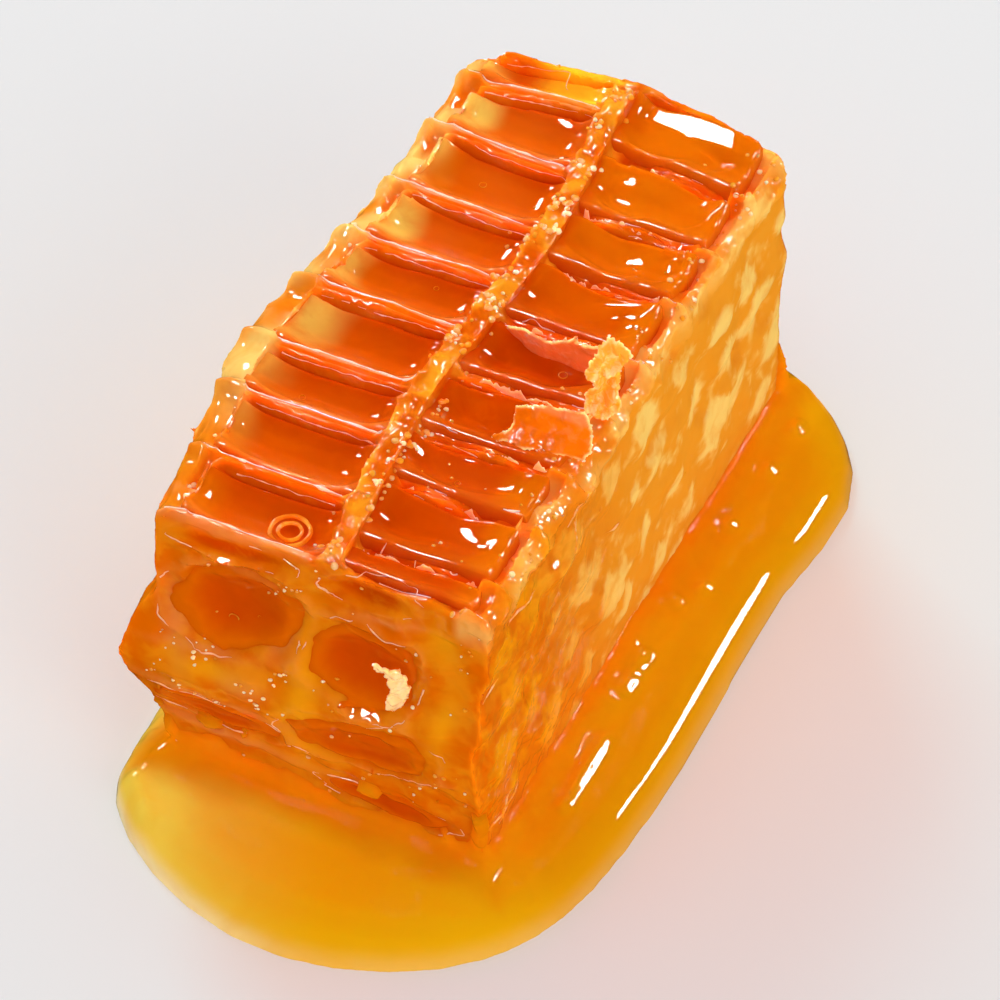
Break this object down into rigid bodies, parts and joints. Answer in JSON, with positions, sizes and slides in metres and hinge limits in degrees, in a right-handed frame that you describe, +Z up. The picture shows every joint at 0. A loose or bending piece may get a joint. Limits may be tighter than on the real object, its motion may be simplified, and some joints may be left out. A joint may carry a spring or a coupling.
{
  "type": "honeycomb piece",
  "caption": "Block cut from a honeycomb: hexagonal cells opened lengthwise either side of a wax midrib, capped sides, torn wax flaps and a pool of honey around its foot.",
  "frame": {"origin": "middle of the comb's flat foot, on the surface that it stands on", "axes": "+Z up; +X through the comb, from its swollen left capped side to its right one; +Y along the block, from the front cut face to the back one"},
  "size_m": [0.0323, 0.0589, 0.0302],
  "materials": {
    "wax_cells": "honey-soaked beeswax cell walls, wet and glossy",
    "wax_midrib": "amber beeswax sheet, beaded with honey along its cut edge",
    "wax_capping": "pale beeswax cappings, mottled, uneven and wet",
    "wax_torn": "thin translucent torn beeswax",
    "honey_cells": "deep amber clear honey lying in the opened cells",
    "honey_pool": "golden clear honey run out around the foot"
  },
  "bodies": {
    "root": {"capping_left": "wax_capping", "capping_right": "wax_capping", "cells_left": "wax_cells", "cells_right": "wax_cells", "honey_back_left_1": "honey_cells", "honey_back_left_2": "honey_cells", "honey_back_right_1": "honey_cells", "honey_back_right_2": "honey_cells", "honey_back_right_3": "honey_cells", "honey_front_left_1": "honey_cells", "honey_front_left_2": "honey_cells", "honey_front_right_1": "honey_cells", "honey_front_right_2": "honey_cells", "honey_front_right_3": "honey_cells", "honey_pool": "honey_pool", "honey_top_left_1": "honey_cells", "honey_top_left_2": "honey_cells", "honey_top_left_3": "honey_cells", "honey_top_left_4": "honey_cells", "honey_top_left_5": "honey_cells", "honey_top_left_6": "honey_cells", "honey_top_left_7": "honey_cells", "honey_top_left_8": "honey_cells", "honey_top_left_9": "honey_cells", "honey_top_right_1": "honey_cells", "honey_top_right_2": "honey_cells", "honey_top_right_3": "honey_cells", "honey_top_right_4": "honey_cells", "honey_top_right_5": "honey_cells", "honey_top_right_6": "honey_cells", "honey_top_right_7": "honey_cells", "honey_top_right_8": "honey_cells", "honey_top_right_9": "honey_cells", "midrib": "wax_midrib", "torn_corner": "wax_torn", "torn_flap": "wax_torn", "torn_front": "wax_torn", "torn_wall": "wax_torn"}
  },
  "joints": []
}
